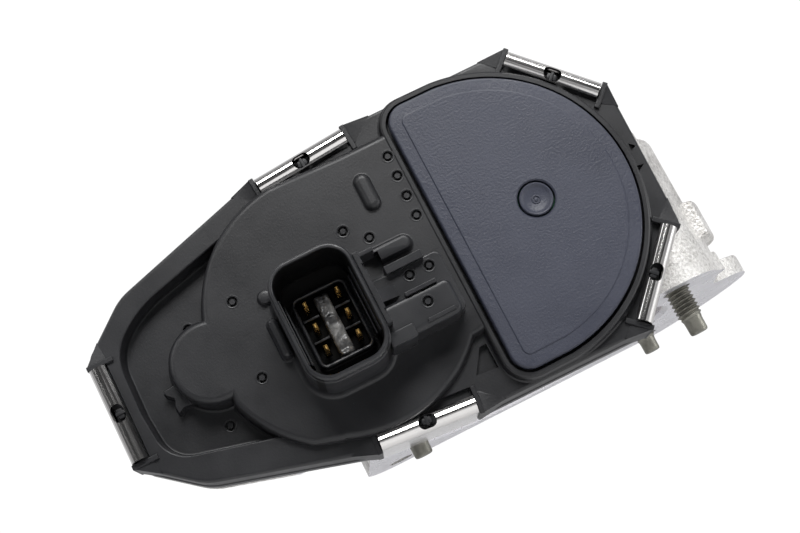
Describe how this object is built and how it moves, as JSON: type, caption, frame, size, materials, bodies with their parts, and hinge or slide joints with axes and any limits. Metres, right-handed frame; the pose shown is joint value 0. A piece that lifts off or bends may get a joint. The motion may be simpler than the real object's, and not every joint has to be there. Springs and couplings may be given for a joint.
{
  "type": "electronic throttle body",
  "caption": "Electronic throttle body with a cast barrel and flange, motor housing, gear train, clipped plastic gear cover with a side connector, and a D-shaped sensor cap.",
  "frame": {"origin": "centre of the throttle bore, on the manifold flange's machined face", "axes": "+Z along the bore towards the air inlet; -Y towards the gear cover and connector; the throttle shaft is parallel to Y; the motor is on the -X side"},
  "size_m": [0.156, 0.136, 0.0759],
  "materials": {
    "bearing_end_plug": "pressed",
    "bearing_far_side": "drawn cup",
    "bearing_gear_side": "ground",
    "cap_plug": "moulded, satin",
    "connector_insert": "moulded, matt",
    "connector_key": "translucent",
    "cover_clip_left": "bright spring steel",
    "cover_clip_lower_left": "bright spring steel",
    "cover_clip_lower_right": "bright spring steel",
    "cover_clip_upper_left": "bright spring steel",
    "cover_clip_upper_right": "bright spring steel",
    "cover_gasket": "moulded",
    "drive_pinion": "cut",
    "gear_cover": "moulded, matt",
    "idler_gear": "glass-filled nylon",
    "idler_pin": "ground",
    "idler_washer": "plain",
    "motor_can": "zinc plated",
    "motor_end_plate": "stamped",
    "motor_magnet_1": "ferrite",
    "motor_magnet_2": "ferrite",
    "motor_rotor": "laminations and copper",
    "motor_screw_1": "zinc plated",
    "motor_screw_2": "zinc plated",
    "motor_terminal_1": "tinned",
    "motor_terminal_2": "tinned",
    "motor_wave_washer": "spring steel",
    "mounting_bolt_1": "dark phosphate",
    "mounting_bolt_2": "dark phosphate",
    "mounting_bolt_3": "dark phosphate",
    "mounting_bolt_4": "dark phosphate",
    "plate_screw_1": "oiled",
    "plate_screw_2": "oiled",
    "return_spring": "spring wire",
    "sector_gear": "glass-filled nylon",
    "sensor_board": "solder mask",
    "sensor_cap": "moulded, satin",
    "sensor_rotor": "stamped",
    "shaft_nut": "zinc plated",
    "shaft_seal": "moulded",
    "spring_sleeve": "moulded",
    "stop_screw": "zinc plated",
    "terminal_1": "gold plated",
    "terminal_2": "gold plated",
    "terminal_3": "gold plated",
    "terminal_4": "gold plated",
    "terminal_5": "gold plated",
    "terminal_6": "gold plated",
    "throttle_body_casting": "as cast, machined faces",
    "throttle_plate": "machined",
    "throttle_shaft": "ground"
  },
  "bodies": {
    "housing": {"bearing_end_plug": "bearing_end_plug", "bearing_far_side": "bearing_far_side", "bearing_gear_side": "bearing_gear_side", "cap_plug": "cap_plug", "connector_insert": "connector_insert", "connector_key": "connector_key", "cover_clip_left": "cover_clip_left", "cover_clip_lower_left": "cover_clip_lower_left", "cover_clip_lower_right": "cover_clip_lower_right", "cover_clip_upper_left": "cover_clip_upper_left", "cover_clip_upper_right": "cover_clip_upper_right", "cover_gasket": "cover_gasket", "gear_cover": "gear_cover", "idler_pin": "idler_pin", "idler_washer": "idler_washer", "motor_can": "motor_can", "motor_end_plate": "motor_end_plate", "motor_magnet_1": "motor_magnet_1", "motor_magnet_2": "motor_magnet_2", "motor_screw_1": "motor_screw_1", "motor_screw_2": "motor_screw_2", "motor_terminal_1": "motor_terminal_1", "motor_terminal_2": "motor_terminal_2", "motor_wave_washer": "motor_wave_washer", "mounting_bolt_1": "mounting_bolt_1", "mounting_bolt_2": "mounting_bolt_2", "mounting_bolt_3": "mounting_bolt_3", "mounting_bolt_4": "mounting_bolt_4", "return_spring": "return_spring", "sensor_board": "sensor_board", "sensor_cap": "sensor_cap", "shaft_seal": "shaft_seal", "spring_sleeve": "spring_sleeve", "stop_screw": "stop_screw", "terminal_1": "terminal_1", "terminal_2": "terminal_2", "terminal_3": "terminal_3", "terminal_4": "terminal_4", "terminal_5": "terminal_5", "terminal_6": "terminal_6", "throttle_body_casting": "throttle_body_casting"},
    "throttle": {"throttle_shaft": "throttle_shaft", "throttle_plate": "throttle_plate", "plate_screw_1": "plate_screw_1", "plate_screw_2": "plate_screw_2", "sector_gear": "sector_gear", "sensor_rotor": "sensor_rotor", "shaft_nut": "shaft_nut"},
    "idler": {"idler_gear": "idler_gear"},
    "motor": {"motor_rotor": "motor_rotor", "drive_pinion": "drive_pinion"}
  },
  "joints": [
    {"name": "throttle_turn", "type": "hinge", "parent": "housing", "child": "throttle", "pos_m": [0, 0, 0.028], "axis": [0, 1, 0], "range_deg": [-7, 80], "stiffness_Nm_per_rad": 0.3, "deforming": ["return_spring"]},
    {"name": "idler_turn", "type": "hinge", "parent": "housing", "child": "idler", "pos_m": [-0.0375, 0, 0.028], "axis": [0, 1, 0], "range_deg": [-322, 30]},
    {"name": "motor_turn", "type": "hinge", "parent": "housing", "child": "motor", "pos_m": [-0.067, 0, 0.028], "axis": [0, 1, 0], "range_deg": [-118, 1336]}
  ],
  "couplings": [
    {"joint": "idler_turn", "follows": "throttle_turn", "ratio": -4},
    {"joint": "motor_turn", "follows": "throttle_turn", "ratio": 16.667}
  ]
}
